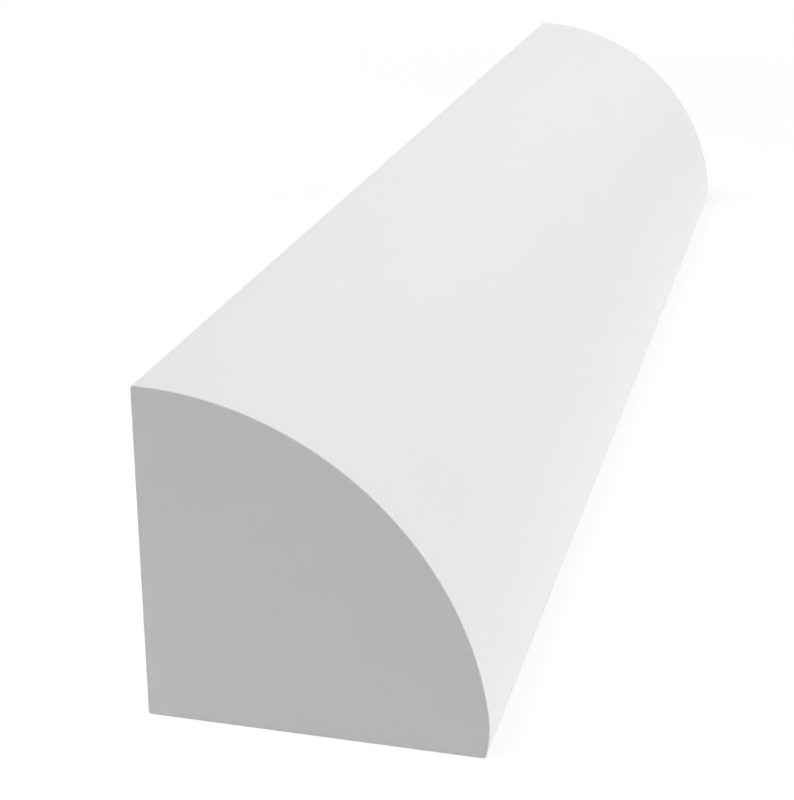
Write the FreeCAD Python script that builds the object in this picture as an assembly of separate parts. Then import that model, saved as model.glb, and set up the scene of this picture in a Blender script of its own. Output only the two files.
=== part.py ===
import FreeCAD, Part
import math
import os

# A quarter round moulding: one straight length of extruded stock, sawn square at both ends.
# Its section is a quarter of a circle between two flat legs that stand square to each other.
# Near the floor the face turns under in a tighter arc, so that the toe sits close on the floor.
# X runs across the section from the wall leg to the toe, Y along the length and Z up.
# The origin is under the middle of the piece, on the floor that it lies on.

# Driving dimensions, in millimetres and degrees
leg = 19.05  # height of the wall leg, which is also the radius of the face
length = 118.0  # from one sawn end to the other
toe_radius = 7.0  # radius of the arc in which the face turns under
toe_turn = 8.0  # how far round the face that arc takes over, counted up from the floor leg
corner_easing = 0.15  # radius on the heel, the crown and the toe, which stay crisp

# Places on the section that the dimensions above give
turn = math.radians(toe_turn)
toe_arc_across = (leg - toe_radius) * math.cos(turn)  # middle of the toe arc, from the heel
toe_arc_up = (leg - toe_radius) * math.sin(turn)
width = toe_arc_across + toe_radius  # the face stands out furthest level with that middle
wall_x = -width / 2  # the leg that stands against a wall
floor_z = 0.0  # the leg that lies on the floor
crown_z = floor_z + leg
toe_x = wall_x + toe_arc_across + math.sqrt(toe_radius**2 - toe_arc_up**2)
near_y = -length / 2  # the sawn end that starts the length


def round_heel(radius, angle):
    """A point on the near end, at this distance and angle from the heel."""
    return FreeCAD.Vector(wall_x + radius * math.cos(angle), near_y, floor_z + radius * math.sin(angle))


def round_toe_arc(angle):
    """A point on the toe arc, at this angle about its own middle."""
    across = toe_arc_across + toe_radius * math.cos(angle)
    up = toe_arc_up + toe_radius * math.sin(angle)
    return FreeCAD.Vector(wall_x + across, near_y, floor_z + up)


def section():
    """The near end: floor leg, toe arc, face and wall leg, with the three corners still sharp."""
    right_angle = math.radians(90)
    toe_end = -math.asin(toe_arc_up / toe_radius)
    heel = FreeCAD.Vector(wall_x, near_y, floor_z)
    toe = FreeCAD.Vector(toe_x, near_y, floor_z)
    shoulder = round_heel(leg, turn)
    crown = FreeCAD.Vector(wall_x, near_y, crown_z)
    floor_leg = Part.LineSegment(heel, toe).toShape()
    toe_arc = Part.Arc(toe, round_toe_arc((toe_end + turn) / 2), shoulder).toShape()
    face_arc = Part.Arc(shoulder, round_heel(leg, (turn + right_angle) / 2), crown).toShape()
    wall_leg = Part.LineSegment(crown, heel).toShape()
    return Part.Face(Part.Wire([floor_leg, toe_arc, face_arc, wall_leg]))


def long_edge(bar, x, z):
    """The edge that runs along the piece at this place on the section."""
    def distance(edge):
        return max(math.hypot(end.X - x, end.Z - z) for end in edge.Vertexes)

    return min(bar.Edges, key=distance)


def quarter_round():
    """The section carried along the length, with its three long corners eased."""
    bar = section().extrude(FreeCAD.Vector(0, length, 0))
    corners = [(wall_x, floor_z), (wall_x, crown_z), (toe_x, floor_z)]
    return bar.makeFillet(corner_easing, [long_edge(bar, x, z) for x, z in corners])


os.makedirs("parts", exist_ok=True)
moulding = quarter_round()
moulding.exportStep("parts/quarter_round.step")

box = moulding.BoundBox
print(f"quarter_round: {box.XLength:.3f} x {box.YLength:.3f} x {box.ZLength:.3f} mm")
print(f"solids {len(moulding.Solids)}, faces {len(moulding.Faces)}, valid {moulding.isValid()}")
print(f"volume {moulding.Volume / 1000:.4f} cubic centimetres")
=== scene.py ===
# %% [markdown]
# A quarter round moulding
#
# Quarter round is the thin strip that hides the gap where a floor meets a wall. Its section is a
# quarter of a circle between two flat legs, and just above the floor the curve turns under a little.
# This one is a short length of white foamed plastic. It was pushed through a die, which gave it a
# smooth skin, and then sawn square at both ends.
#
# With a shape this plain, the eye goes to a few things: a true curve with no facets, edges that are
# eased as the real ones are, a skin and a sawn end that differ a little, and soft light that lets
# the curve show. The lesson takes them one at a time.

# %% Load the packed part
import math

import bmesh
import bpy
from mathutils import Matrix, Vector


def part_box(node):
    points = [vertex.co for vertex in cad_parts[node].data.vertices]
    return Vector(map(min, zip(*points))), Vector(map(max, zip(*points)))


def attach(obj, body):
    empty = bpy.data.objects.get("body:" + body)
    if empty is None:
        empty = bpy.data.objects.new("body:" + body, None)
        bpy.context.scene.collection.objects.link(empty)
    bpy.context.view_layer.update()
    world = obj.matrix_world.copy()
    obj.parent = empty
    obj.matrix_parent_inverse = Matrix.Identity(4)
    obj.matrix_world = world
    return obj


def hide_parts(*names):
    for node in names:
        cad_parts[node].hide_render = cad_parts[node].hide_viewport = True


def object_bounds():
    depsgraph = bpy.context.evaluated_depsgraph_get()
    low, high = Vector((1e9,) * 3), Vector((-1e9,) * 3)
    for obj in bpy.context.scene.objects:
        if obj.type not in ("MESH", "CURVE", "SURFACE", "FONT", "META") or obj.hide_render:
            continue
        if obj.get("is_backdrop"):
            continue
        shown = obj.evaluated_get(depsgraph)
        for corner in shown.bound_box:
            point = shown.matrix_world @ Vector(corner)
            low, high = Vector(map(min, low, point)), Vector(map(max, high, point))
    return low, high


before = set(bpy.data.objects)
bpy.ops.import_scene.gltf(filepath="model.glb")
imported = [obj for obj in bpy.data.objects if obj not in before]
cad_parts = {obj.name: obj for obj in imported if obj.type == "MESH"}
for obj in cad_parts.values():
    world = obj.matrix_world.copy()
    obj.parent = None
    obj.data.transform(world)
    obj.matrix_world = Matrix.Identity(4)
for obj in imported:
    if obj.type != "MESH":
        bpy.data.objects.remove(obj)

cad_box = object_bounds()

# %% [markdown]
# The sizes
#
# The packed part already has the place and the size of the moulding, so its box gives the width and
# the length. X runs across the section, Y along the length and Z up. The wall leg stands half the
# width to the left of the middle. The heel is the square corner between the two legs, and the big
# arc has its middle there. The toe arc is smaller and touches the big one from inside, so the width
# is the toe arc's radius and the level distance between the two middles. That gives the leg.

# %% Read the sizes off the packed part
mm = 1000  # millimetres in a metre, for the printed sizes
low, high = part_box("quarter_round")
width = -2 * low.x
length = high.y - low.y
near_heel = Vector((low.x, low.y, low.z))
far_heel = Vector((low.x, high.y, low.z))
toe_radius = 0.007  # the arc in which the face turns under, in metres as everywhere here
toe_turn = math.radians(8)  # how far round the face that arc reaches, counted up from the floor
easing = 0.00015  # radius on the heel, the crown and the toe
leg = (width - toe_radius) / math.cos(toe_turn) + toe_radius
print(f"leg {leg * mm:.2f} mm, width {width * mm:.2f} mm, length {length * mm:.1f} mm")

# %% [markdown]
# The camera
#
# The picture looks along the moulding from its near end, from a little to the right and from above.
# A camera can be aimed at a point, but most pictures are also turned a little in their own plane.
# So the three turns are set one after another: the turn in the picture, the drop below level and
# the heading. The place is measured from the near heel, which is easy to find in the picture.

# %% Set the camera
camera_from_heel = Vector((0.03496, -0.08104, 0.05114))
heading = math.radians(14.49)  # from the long way of the moulding towards the wall leg
drop = math.radians(20.68)  # below level
picture_turn = math.radians(-0.142)  # in the picture's own plane

camera_data = bpy.data.cameras.new("camera")
camera_data.sensor_width = 36  # millimetres, and so is the lens
camera_data.lens = 82.37
camera_data.clip_start = 0.005
camera_data.clip_end = 20
camera = bpy.data.objects.new("camera", camera_data)
bpy.context.scene.collection.objects.link(camera)
bpy.context.scene.camera = camera

facing = Matrix.Rotation(heading, 4, "Z") @ Matrix.Rotation(math.pi / 2 - drop, 4, "X")
facing = facing @ Matrix.Rotation(picture_turn, 4, "Z")
camera.matrix_world = Matrix.Translation(near_heel + camera_from_heel) @ facing
print("camera at", [round(place * mm, 1) for place in camera.matrix_world.translation], "mm")

# %% [markdown]
# Helpers for node trees
#
# The shape and the finishes are all node trees, and five short helpers keep them readable. `put`
# links an input to another node's output, or gives it a value. `node` adds a node and fills in its
# inputs. `sums` adds one step of arithmetic, whose inputs have no names of their own. The last two
# give a tree the inputs and outputs that it shows to whoever uses it.

# %% Helpers that add and link nodes
def put(tree, socket, value):
    if isinstance(value, bpy.types.NodeSocket):
        tree.links.new(value, socket)
    else:
        socket.default_value = value


def node(tree, kind, inputs=None, **settings):
    column_width = 220
    made = tree.nodes.new(kind)
    made.location = (column_width * len(tree.nodes), 0)
    for name, value in settings.items():
        setattr(made, name, value)
    for name, value in (inputs or {}).items():
        put(tree, made.inputs[name], value)
    return made


def sums(tree, operation, first, second=0.0):
    step = node(tree, "ShaderNodeMath", {0: first, 1: second}, operation=operation)
    return step.outputs[0]


def named_input(tree, name, kind):
    return tree.interface.new_socket(name=name, in_out="INPUT", socket_type=kind).identifier


def named_output(tree, name, kind):
    tree.interface.new_socket(name=name, in_out="OUTPUT", socket_type=kind)


helpers = (put, node, sums, named_input, named_output)
print("helpers:", ", ".join(helper.__name__ for helper in helpers))

# %% [markdown]
# The eased tips of the arc
#
# Where an arc meets a flat leg, the die leaves a small round and not a knife edge. The round lies
# inside the arc and touches both it and the leg. Its middle is therefore one small radius off the
# leg, and as far from the arc's own middle as the big radius less the small one. This group works
# out how far along the leg that middle lies from the arc's, and the angle on the arc at which the
# round takes over. The face uses it at the crown. The toe arc uses it at the floor, where its own
# middle stands a little off the leg, and that height is the second input.

# %% Build the group that places a small round inside the arc
def eased_tip_group():
    tree = bpy.data.node_groups.new("Eased tip", "GeometryNodeTree")
    for name in ("Arc Radius", "Arc Height", "Easing"):
        named_input(tree, name, "NodeSocketFloat")
    for name in ("Along Leg", "Arc Angle"):
        named_output(tree, name, "NodeSocketFloat")
    given = node(tree, "NodeGroupInput").outputs
    reach = sums(tree, "SUBTRACT", given["Arc Radius"], given["Easing"])
    lift = sums(tree, "SUBTRACT", given["Easing"], given["Arc Height"])
    angle = sums(tree, "ARCSINE", sums(tree, "DIVIDE", lift, reach))
    along = sums(tree, "MULTIPLY", reach, sums(tree, "COSINE", angle))
    node(tree, "NodeGroupOutput", {"Along Leg": along, "Arc Angle": angle})
    return tree


eased_tip = eased_tip_group()
print("group:", eased_tip.name, "with", len(eased_tip.nodes), "nodes")

# %% [markdown]
# The arcs of the section
#
# The section is made of arcs only, because a flat leg is what lies between two of them and needs no
# points of its own. The points of all the arcs are put in order by their angle round a place inside
# the section. That works because the outline bulges outwards everywhere, and it saves reversing and
# joining curves.

# %% Place the points of an arc and find their order
def arc_points(tree, steps, radius, start, sweep, across, up):
    """The points of one arc whose middle is at (across, up) from the heel."""
    sizes = {"Resolution": steps, "Radius": radius, "Start Angle": start, "Sweep Angle": sweep}
    arc = node(tree, "GeometryNodeCurveArc", sizes, mode="RADIUS").outputs["Curve"]
    middle = node(tree, "ShaderNodeCombineXYZ", {"X": across, "Y": up}).outputs[0]
    placing = {"Geometry": arc, "Translation": middle}
    placed = node(tree, "GeometryNodeTransform", placing).outputs[0]
    points = node(tree, "GeometryNodeCurveToPoints", {"Curve": placed}, mode="EVALUATED")
    return points.outputs["Points"]


def turn_round_inside(tree, leg_size):
    """Each point's angle as seen from a place well inside the section."""
    well_inside = 0.4  # of the leg, both across and up from the heel
    offset = sums(tree, "MULTIPLY", leg_size, well_inside)
    position = node(tree, "GeometryNodeInputPosition").outputs[0]
    place = node(tree, "ShaderNodeSeparateXYZ", {"Vector": position}).outputs
    across = sums(tree, "SUBTRACT", place["X"], offset)
    up = sums(tree, "SUBTRACT", place["Y"], offset)
    return sums(tree, "ARCTAN2", up, across)


def eased_tip_of(tree, radius, height, rounding):
    """How far along its leg an arc's small round lies, and the angle at which it takes over."""
    sizes = {"Arc Radius": radius, "Arc Height": height, "Easing": rounding}
    tip = node(tree, "GeometryNodeGroup", sizes, node_tree=eased_tip).outputs
    return tip["Along Leg"], tip["Arc Angle"]


arc_helpers = (arc_points, turn_round_inside, eased_tip_of)
print("arc helpers:", ", ".join(helper.__name__ for helper in arc_helpers))

# %% [markdown]
# The section
#
# There are five arcs: the round under the toe, the toe arc, the big face, the round on the crown and
# the round on the heel. The toe arc's middle lies on the line from the heel to the point where the
# two arcs meet, so they run into each other with no corner.

# %% Draw the section as nodes
quarter_turn = math.pi / 2


def section_curve(tree, given):
    """The closed outline, from the toe over the face and the crown to the heel."""
    big, small, rounding = given["Leg"], given["Toe Radius"], given["Easing"]
    shoulder = given["Toe Turn"]
    between = sums(tree, "SUBTRACT", big, small)
    arc_across = sums(tree, "MULTIPLY", between, sums(tree, "COSINE", shoulder))
    arc_up = sums(tree, "MULTIPLY", between, sums(tree, "SINE", shoulder))
    toe_along, toe_angle = eased_tip_of(tree, small, arc_up, rounding)
    crown_along, crown_angle = eased_tip_of(tree, big, 0.0, rounding)

    tip_across = sums(tree, "ADD", arc_across, toe_along)
    tip_sweep = sums(tree, "ADD", quarter_turn, toe_angle)
    toe_sweep = sums(tree, "SUBTRACT", shoulder, toe_angle)
    face_end = sums(tree, "SUBTRACT", quarter_turn, crown_angle)
    face_sweep = sums(tree, "SUBTRACT", face_end, shoulder)
    crown_sweep = sums(tree, "ADD", quarter_turn, crown_angle)
    few, some, many = given["Easing Steps"], given["Toe Steps"], given["Face Steps"]
    arcs = (
        arc_points(tree, few, rounding, -quarter_turn, tip_sweep, tip_across, rounding),
        arc_points(tree, some, small, toe_angle, toe_sweep, arc_across, arc_up),
        arc_points(tree, many, big, shoulder, face_sweep, 0.0, 0.0),
        arc_points(tree, few, rounding, face_end, crown_sweep, rounding, crown_along),
        arc_points(tree, few, rounding, 2 * quarter_turn, quarter_turn, rounding, rounding),
    )
    joined = node(tree, "GeometryNodeJoinGeometry")
    for arc in arcs:
        tree.links.new(arc, joined.inputs[0])
    in_order = {"Points": joined.outputs[0], "Weight": turn_round_inside(tree, big)}
    outline = node(tree, "GeometryNodePointsToCurves", in_order).outputs["Curves"]
    closing = {"Geometry": outline, "Cyclic": True}
    return node(tree, "GeometryNodeSetSplineCyclic", closing).outputs[0]


print("section:", section_curve.__doc__)

# %% [markdown]
# The bar
#
# The real piece is a section pushed through a die, so it is made the same way here: the section is
# carried along a straight line. It could be cut out of a cylinder or modelled face by face, but then
# every change of size would be new work. In Geometry Nodes each size is a named input.
#
# The line stands upright while the section is swept, since a curve drawn flat is already square to
# it, and the finished bar is then laid down. The points where each arc ends and the next begins
# fall together, so they are merged.

# %% Carry the section along the length
def swept_bar(tree, given):
    """The section carried up by the length, capped, merged and laid down along Y."""
    touching = 1e-6  # points nearer to each other than this are one point
    top = node(tree, "ShaderNodeCombineXYZ", {"Z": given["Length"]}).outputs[0]
    line = node(tree, "GeometryNodeCurvePrimitiveLine", {"End": top}).outputs[0]
    stations = {"Curve": line, "Count": given["Stations"]}
    path = node(tree, "GeometryNodeResampleCurve", stations, mode="COUNT").outputs[0]
    sweep = {"Curve": path, "Profile Curve": section_curve(tree, given), "Fill Caps": True}
    upright = node(tree, "GeometryNodeCurveToMesh", sweep).outputs[0]
    merging = {"Geometry": upright, "Distance": touching}
    merged = node(tree, "GeometryNodeMergeByDistance", merging).outputs[0]
    laying = {
        "Geometry": merged,
        "Rotation": (quarter_turn, 0, 0),
        "Translation": given["Far Heel"],
    }
    return node(tree, "GeometryNodeTransform", laying).outputs[0]


print("bar:", swept_bar.__doc__)

# %% [markdown]
# The whole tree
#
# The tree ends with the two finishes: skin all round, and the sawn finish on every face that looks
# along the length. A modifier knows a tree's inputs by identifiers and not by their names, so the
# identifiers are kept by name for whoever sets the inputs.

# %% Build the tree for the bar
def finished_bar(tree, bar, given):
    """The bar with its skin, and the sawn finish on the faces that look along Y."""
    mostly = 0.7  # a face is an end where this much of its normal lies along Y
    real = node(tree, "GeometryNodeRealizeInstances", {"Geometry": bar}).outputs[0]
    normal = node(tree, "GeometryNodeInputNormal").outputs[0]
    ways = node(tree, "ShaderNodeSeparateXYZ", {"Vector": normal}).outputs
    is_end = sums(tree, "GREATER_THAN", sums(tree, "ABSOLUTE", ways["Y"]), mostly)
    skinning = {"Geometry": real, "Material": given["Skin"]}
    skinned = node(tree, "GeometryNodeSetMaterial", skinning).outputs[0]
    sawing = {"Geometry": skinned, "Selection": is_end, "Material": given["Sawn End"]}
    return node(tree, "GeometryNodeSetMaterial", sawing).outputs[0]


def bar_tree():
    """The tree, and the identifier of each of its inputs by name."""
    tree = bpy.data.node_groups.new("Quarter round bar", "GeometryNodeTree")
    kinds = {
        "Leg": "NodeSocketFloat",
        "Length": "NodeSocketFloat",
        "Toe Radius": "NodeSocketFloat",
        "Toe Turn": "NodeSocketFloat",
        "Easing": "NodeSocketFloat",
        "Far Heel": "NodeSocketVector",
        "Face Steps": "NodeSocketInt",
        "Toe Steps": "NodeSocketInt",
        "Easing Steps": "NodeSocketInt",
        "Stations": "NodeSocketInt",
        "Skin": "NodeSocketMaterial",
        "Sawn End": "NodeSocketMaterial",
    }
    identifiers = {name: named_input(tree, name, kind) for name, kind in kinds.items()}
    named_output(tree, "Geometry", "NodeSocketGeometry")
    given = node(tree, "NodeGroupInput").outputs
    bar = finished_bar(tree, swept_bar(tree, given), given)
    node(tree, "NodeGroupOutput", {"Geometry": bar})
    return tree, identifiers


bar_nodes, bar_inputs = bar_tree()
print("tree:", bar_nodes.name, "with", len(bar_nodes.nodes), "nodes")

# %% [markdown]
# The tree's inputs
#
# The leg, the length and the place of the heel come from the packed part. The toe's arc and the
# easing can't be read off its box, so they were written down with the sizes. The steps are how
# finely each arc is divided: about one degree on the face, so that no facet shows on its outline.
# The stations are the places along the length that carry a ring of points. The two materials are
# still empty, and are filled in later.

# %% Choose the tree's inputs
skin = bpy.data.materials.new("white_pvc_skin")
sawn_end = bpy.data.materials.new("white_pvc_sawn_end")
station_gap = 0.002
values = {
    "Leg": leg,
    "Length": length,
    "Toe Radius": toe_radius,
    "Toe Turn": toe_turn,
    "Easing": easing,
    "Far Heel": far_heel,
    "Face Steps": 89,
    "Toe Steps": 17,
    "Easing Steps": 9,
    "Stations": 1 + round(length / station_gap),
    "Skin": skin,
    "Sawn End": sawn_end,
}
print("steps:", {name: value for name, value in values.items() if isinstance(value, int)})

# %% [markdown]
# From the tree to a plain mesh
#
# The tree sits in a modifier on a draft object. Its inputs are set by their identifiers, before the
# object is looked at for the first time. A fine bevel then softens the sawn rims: a saw leaves them
# sharp, but never so sharp that they don't catch a hair of light. Weighted normals keep the flat
# legs flat right up to their rounds. The result is copied to a plain mesh and the draft goes away,
# so no modifier is left on the piece.

# %% Make the moulding
rim_softening = 0.00005
sharp_turn = math.radians(60)  # an edge that turns more than this is a sawn rim

draft = bpy.data.objects.new("draft", bpy.data.meshes.new("draft"))
bpy.context.scene.collection.objects.link(draft)
grown = draft.modifiers.new("grown", "NODES")
grown.node_group = bar_nodes
for name, value in values.items():
    grown[bar_inputs[name]] = value

softened = draft.modifiers.new("softened rims", "BEVEL")
softened.width = rim_softening
softened.segments = 2
softened.limit_method = "ANGLE"
softened.angle_limit = sharp_turn
softened.use_clamp_overlap = False
flat_legs = draft.modifiers.new("flat legs", "WEIGHTED_NORMAL")
flat_legs.keep_sharp = True

ready = draft.evaluated_get(bpy.context.evaluated_depsgraph_get())
mesh = bpy.data.meshes.new_from_object(ready)
mesh.name = "moulding"
moulding = bpy.data.objects.new("moulding", mesh)
bpy.context.scene.collection.objects.link(moulding)
bpy.data.objects.remove(draft)
print("moulding:", len(mesh.vertices), "points and", len(mesh.polygons), "faces")

# %% [markdown]
# Is the mesh sound?
#
# A mesh that is closed and faces outwards has a positive volume and no open edge. The volume of a
# quarter of a cylinder is easy to work out by hand. The moulding's is a little under it, because
# the toe turns under.

# %% Measure the mesh
cubic_cm = 1e-6
solid = bmesh.new()
solid.from_mesh(mesh)
open_edges = sum(1 for edge in solid.edges if not edge.is_manifold)
measured = solid.calc_volume(signed=True) / cubic_cm
solid.free()
quarter_cylinder = math.pi / 4 * leg ** 2 * length / cubic_cm
print(f"volume {measured:.3f}, quarter cylinder {quarter_cylinder:.3f} cubic cm")
print("open edges:", open_edges)

# %% [markdown]
# Effects that both finishes share
#
# The skin and the sawn end are the same plastic, so they share three effects, each of which is a
# node group that is built once. All three are faint, because the real thing looks plain from arm's
# length. White plastic is never one flat white, so the first lets its tone drift a little. It takes
# a soft noise, whose middle is a half, and turns it into a factor whose middle is one.

# %% Build the tone drift
def effect_group(name, inputs, output, kind):
    """A shader group with its inputs and its one output, ready to be filled."""
    tree = bpy.data.node_groups.new(name, "ShaderNodeTree")
    for input_name, input_kind in inputs.items():
        named_input(tree, input_name, input_kind)
    named_output(tree, output, kind)
    return tree, node(tree, "NodeGroupInput").outputs


def tone_drift_group():
    """The colour, made a little lighter and darker in soft patches."""
    inputs = {
        "Coordinates": "NodeSocketVector",
        "Color": "NodeSocketColor",
        "Patch Size": "NodeSocketFloat",
        "Drift": "NodeSocketFloat",
    }
    tree, given = effect_group("Tone drift", inputs, "Color", "NodeSocketColor")
    fineness = sums(tree, "DIVIDE", 1.0, given["Patch Size"])
    cloud = {"Vector": given["Coordinates"], "Scale": fineness, "Detail": 3.0}
    noise = node(tree, "ShaderNodeTexNoise", cloud).outputs[0]
    swing = sums(tree, "MULTIPLY", sums(tree, "SUBTRACT", noise, 0.5), given["Drift"])
    tone = sums(tree, "ADD", 1.0, sums(tree, "MULTIPLY", 2.0, swing))
    toned = {0: given["Color"], "Scale": tone}
    scaled = node(tree, "ShaderNodeVectorMath", toned, operation="SCALE").outputs[0]
    node(tree, "NodeGroupOutput", {"Color": scaled})
    return tree


tone_drift = tone_drift_group()
print("effect:", tone_drift.name, "with", len(tone_drift.nodes), "nodes")

# %% [markdown]
# The foam
#
# The plastic is full of fine closed cells, and some of them lie open at the surface. A Voronoi
# texture packs cells much as foam does. It also gives each cell a colour by chance, and that colour
# decides here which of them are open.

# %% Build the foam cells
def foam_cells_group():
    """1 at the middle of each cell that lies open, 0 on the plastic between the cells."""
    inputs = {
        "Coordinates": "NodeSocketVector",
        "Cell Size": "NodeSocketFloat",
        "Open Share": "NodeSocketFloat",
    }
    tree, given = effect_group("Foam cells", inputs, "Cells", "NodeSocketFloat")
    fineness = sums(tree, "DIVIDE", 1.0, given["Cell Size"])
    packing = {"Vector": given["Coordinates"], "Scale": fineness}
    cells = node(tree, "ShaderNodeTexVoronoi", packing).outputs
    round_pit = {"Value": cells["Distance"], "From Max": 0.5, "To Min": 1.0, "To Max": 0.0}
    pit = node(tree, "ShaderNodeMapRange", round_pit, interpolation_type="SMOOTHSTEP").outputs[0]
    chance = node(tree, "ShaderNodeSeparateColor", {"Color": cells["Color"]}).outputs[0]
    is_open = sums(tree, "LESS_THAN", chance, given["Open Share"])
    node(tree, "NodeGroupOutput", {"Cells": sums(tree, "MULTIPLY", pit, is_open)})
    return tree


foam_cells = foam_cells_group()
print("effect:", foam_cells.name, "with", len(foam_cells.nodes), "nodes")

# %% [markdown]
# The marks of the tools
#
# Every tool leaves lines: the die's run along the skin and the saw's run across the end. A noise
# becomes lines when it is stretched far more one way than the others. It can be turned first, for
# lines that lean.

# %% Build the tool lines
def tool_lines_group():
    """Fine lines: Repeat is how far one goes along X, Y and Z before the pattern changes."""
    inputs = {
        "Coordinates": "NodeSocketVector",
        "Turn": "NodeSocketVector",
        "Repeat": "NodeSocketVector",
    }
    tree, given = effect_group("Tool lines", inputs, "Lines", "NodeSocketFloat")
    turning = {"Vector": given["Coordinates"], "Rotation": given["Turn"]}
    turned = node(tree, "ShaderNodeMapping", turning, vector_type="TEXTURE").outputs[0]
    stretching = {0: turned, 1: given["Repeat"]}
    stretched = node(tree, "ShaderNodeVectorMath", stretching, operation="DIVIDE").outputs[0]
    streaks = {"Vector": stretched, "Scale": 1.0, "Detail": 2.0}
    lines = node(tree, "ShaderNodeTexNoise", streaks).outputs[0]
    node(tree, "NodeGroupOutput", {"Lines": lines})
    return tree


tool_lines = tool_lines_group()
print("effect:", tool_lines.name, "with", len(tool_lines.nodes), "nodes")

# %% [markdown]
# The two finishes
#
# A finish is the same short chain each time: the object's own coordinates go through the three effects,
# the effects give a colour, a roughness and a height, and those go into one shader. The colour is made
# a little darker in the open cells, which is painted shade in the pits. The coordinates are metres on
# the piece, so a pattern keeps its real size. The height is counted in microns, because a die line is a
# micron or two deep.
#
# The skin was smoothed by the die and cooled in a calibrator: it is satin, with very fine lines
# along the length. The saw tore the sawn end: it is dull, some cells are cut open, and the teeth
# left lines that lean a little, since the bar was not quite square to the stroke.

# %% Make the finish of the skin and of the sawn end
white = (0.84, 0.84, 0.84, 1.0)
pvc_ior = 1.53
micron = 1e-6


def effect(tree, group, inputs):
    """One of the shared groups, placed in a material with its own values."""
    return node(tree, "ShaderNodeGroup", inputs, node_tree=group).outputs[0]


def blend_between(tree, mask, at_zero, at_one):
    """A value that goes from one figure to another as the mask goes from 0 to 1."""
    spread = {"Value": mask, "To Min": at_zero, "To Max": at_one}
    return node(tree, "ShaderNodeMapRange", spread).outputs[0]


def white_finish(material, patch, drift, cell, open_share, turn, repeat, dull, depths, pit_painted_shade):
    """Fills a material: dull is its range of roughness, depths are a line's and a cell's in microns,
    and the last figure darkens the open cells as painted shade in the pits.
    """
    material.use_nodes = True
    tree = material.node_tree
    shader = tree.nodes["Principled BSDF"]
    shader.inputs["IOR"].default_value = pvc_ior
    where = node(tree, "ShaderNodeTexCoord").outputs["Object"]
    drifting = {"Coordinates": where, "Color": white, "Patch Size": patch, "Drift": drift}
    foamed = {"Coordinates": where, "Cell Size": cell, "Open Share": open_share}
    tooled = {"Coordinates": where, "Turn": turn, "Repeat": repeat}
    tone = effect(tree, tone_drift, drifting)
    cells = effect(tree, foam_cells, foamed)
    lines = effect(tree, tool_lines, tooled)

    # Painted shade: the colour is made darker in the open cells, where shade would fall in the pits.
    painted_pit_shading = {0: tone, "Scale": blend_between(tree, cells, 1.0, pit_painted_shade)}
    color = node(tree, "ShaderNodeVectorMath", painted_pit_shading, operation="SCALE").outputs[0]
    line_depth, cell_depth = depths
    line_height = sums(tree, "MULTIPLY", lines, line_depth)
    height = sums(tree, "SUBTRACT", line_height, sums(tree, "MULTIPLY", cells, cell_depth))
    relief = node(tree, "ShaderNodeBump", {"Height": height, "Distance": micron}).outputs["Normal"]
    put(tree, shader.inputs["Base Color"], color)
    put(tree, shader.inputs["Roughness"], blend_between(tree, lines, *dull))
    put(tree, shader.inputs["Normal"], relief)


white_finish(
    skin,
    patch=0.012,
    drift=0.012,
    cell=0.00035,
    open_share=0.5,
    turn=(0.0, 0.0, 0.0),
    repeat=(0.0004, 0.06, 0.0004),
    dull=(0.38, 0.52),
    depths=(1.2, 0.5),
    pit_painted_shade=0.998,
)
white_finish(
    sawn_end,
    patch=0.004,
    drift=0.012,
    cell=0.00016,
    open_share=0.6,
    turn=(0.0, math.radians(11), 0.0),
    repeat=(0.012, 0.002, 0.0004),
    dull=(0.72, 0.84),
    depths=(3.0, 2.5),
    # painted shade in the open cells, darker on the sawn end than on the skin
    pit_painted_shade=0.975,
)
for material in (skin, sawn_end):
    print("finish:", material.name, "with", len(material.node_tree.nodes), "nodes")

# %% [markdown]
# The floor
#
# White stock on a white ground shows only if the ground keeps a faint shadow. So the floor is two
# things. To the light it is a plain pale floor, which gives back most of what falls on it. To the
# eye it is mostly an even glow with a little lit white mixed in, which is enough for the shadow,
# and it fades into the white room farther out, so no horizon shows. Light Path tells the two apart.

# %% Lay the floor
floor_white = 0.85  # what the light meets
lit_white = 0.25  # what the eye sees of the lit floor near the piece
near_glow = 0.81  # and the glow that goes with it
fade_from, fade_to = 0.07, 0.18  # metres from the middle of the piece
floor_half_side = 3.0


def seen_directly(tree):
    """1 for a ray that shows the ground or its reflection, 0 for one that only carries its light."""
    path = node(tree, "ShaderNodeLightPath").outputs
    looked_at = sums(tree, "MAXIMUM", path["Is Camera Ray"], path["Is Glossy Ray"])
    return sums(tree, "MAXIMUM", looked_at, path["Is Transmission Ray"])


def matt(tree, white_level):
    color = (white_level, white_level, white_level, 1)
    return node(tree, "ShaderNodeBsdfDiffuse", {"Color": color}).outputs[0]


def glowing(tree, strength):
    return node(tree, "ShaderNodeEmission", {"Strength": strength}).outputs[0]


def floor_finish():
    material = bpy.data.materials.new("pale_floor")
    material.use_nodes = True
    tree = material.node_tree
    tree.nodes.clear()
    lit_and_glowing = {0: matt(tree, lit_white), 1: glowing(tree, near_glow)}
    near = node(tree, "ShaderNodeAddShader", lit_and_glowing).outputs[0]
    where = node(tree, "ShaderNodeTexCoord").outputs["Object"]
    distance = node(tree, "ShaderNodeVectorMath", {0: where}, operation="LENGTH").outputs["Value"]
    fading = {"Value": distance, "From Min": fade_from, "From Max": fade_to}
    fade = node(tree, "ShaderNodeMapRange", fading, interpolation_type="SMOOTHSTEP").outputs[0]
    to_white = {0: fade, 1: near, 2: glowing(tree, 1.0)}
    shown = node(tree, "ShaderNodeMixShader", to_white).outputs[0]
    both = {0: seen_directly(tree), 1: matt(tree, floor_white), 2: shown}
    ground = node(tree, "ShaderNodeMixShader", both).outputs[0]
    node(tree, "ShaderNodeOutputMaterial", {"Surface": ground})
    return material


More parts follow.
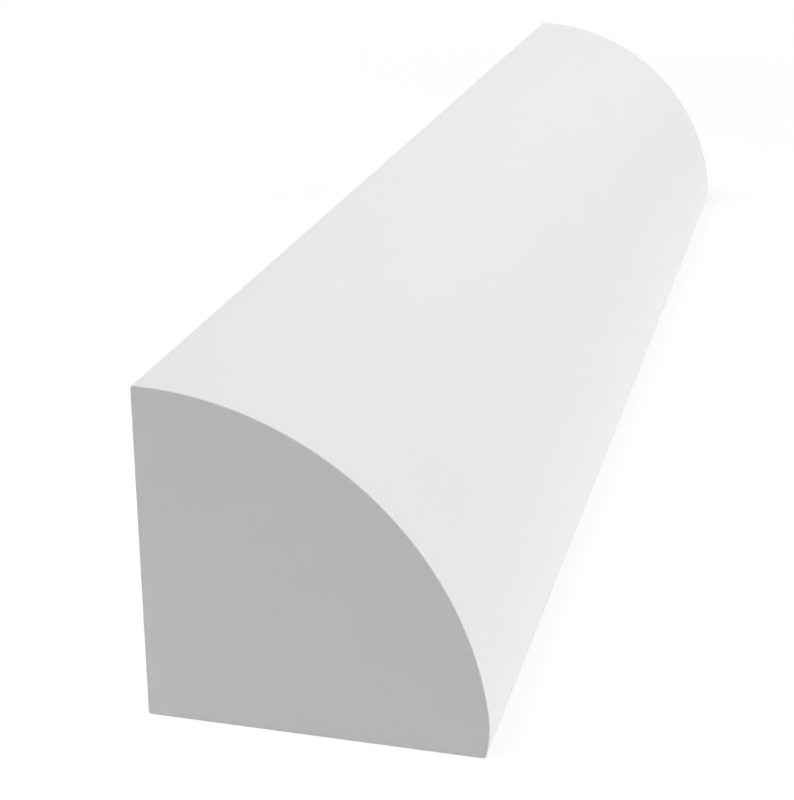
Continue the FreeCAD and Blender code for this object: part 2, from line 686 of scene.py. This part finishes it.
def floor_plane(half_side):
    floor_mesh = bpy.data.meshes.new("floor")
    signs = ((-1, -1), (1, -1), (1, 1), (-1, 1))
    corners = [(x * half_side, y * half_side, low.z) for x, y in signs]
    floor_mesh.from_pydata(corners, [], [(0, 1, 2, 3)])
    floor_mesh.materials.append(floor_finish())
    made = bpy.data.objects.new("floor", floor_mesh)
    bpy.context.scene.collection.objects.link(made)
    return made


floor = floor_plane(floor_half_side)
floor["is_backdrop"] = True
print("floor:", floor.name, "with the finish", floor.data.materials[0].name)

# %% [markdown]
# The room
#
# The room is white to the eye and nearly dark to the light, so that the lamps alone give the piece
# its light and shade. The same test as on the floor tells the two apart.

# %% Close the room round the floor
room_light = 0.05

room = bpy.data.worlds.new("room")
bpy.context.scene.world = room
room.use_nodes = True
walls = room.node_tree
walls.nodes.clear()
extra_white = sums(walls, "MULTIPLY", seen_directly(walls), 1.0 - room_light)
brightness = sums(walls, "ADD", extra_white, room_light)
backdrop = node(walls, "ShaderNodeBackground", {"Color": (1, 1, 1, 1), "Strength": brightness})
node(walls, "ShaderNodeOutputWorld", {"Surface": backdrop.outputs[0]})
print("room light:", room_light)

# %% [markdown]
# The lamps
#
# Three large soft lamps stand well off: one low on the right that faces the toe, one high in front
# on the left and a weak one behind. A smaller one stands close to the left of the near end, so that
# its light falls off along the piece. It is as wide as it is far away, because a small bright lamp
# would show as a hot spot on the satin skin. Between them the round face comes out nearly even, as
# it does in a bright room. The near end has mostly the light that the floor gives back, and so it
# reads as a plane of its own.
#
# A bearing is counted from the far end round by the right, and a rise from the floor.

# %% Set the lamps
centre = (low + high) / 2
near_end = Vector((centre.x, low.y, centre.z))


def soft_lamp(name, bearing, rise, power, away=0.8, side=0.4, aim=centre):
    """A square lamp of this side in metres, so far away from the place that it looks at."""
    turn, lift = math.radians(bearing), math.radians(rise)
    level = math.cos(lift)
    way = Vector((math.sin(turn) * level, math.cos(turn) * level, math.sin(lift)))
    data = bpy.data.lights.new(name, "AREA")
    data.shape = "SQUARE"
    data.size = side
    data.energy = power
    lamp = bpy.data.objects.new(name, data)
    lamp.location = aim + way * away
    lamp.rotation_euler = way.to_track_quat("Z", "Y").to_euler()
    lamp.visible_camera = False
    bpy.context.scene.collection.objects.link(lamp)
    return lamp


lamps = [
    soft_lamp("low_right", bearing=90, rise=15, power=4.23),
    soft_lamp("high_front", bearing=225, rise=65, power=3.38),
    soft_lamp("close_left", bearing=285, rise=35, power=0.16, away=0.2, side=0.2, aim=near_end),
    soft_lamp("behind", bearing=0, rise=15, power=0.24),
]
for lamp in lamps:
    print(f"lamp {lamp.name}: {lamp.data.energy:.2f} W")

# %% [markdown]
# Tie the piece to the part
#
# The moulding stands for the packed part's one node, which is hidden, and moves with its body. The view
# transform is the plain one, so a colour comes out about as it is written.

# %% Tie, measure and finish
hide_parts("quarter_round")
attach(moulding, "root")
bpy.context.scene.view_settings.view_transform = "Standard"

shown_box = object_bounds()
boxes = {"cad": [list(corner) for corner in cad_box], "visual": [list(corner) for corner in shown_box]}
for name, corners in boxes.items():
    print(name, "box in mm:", [[round(place * mm, 3) for place in corner] for corner in corners])
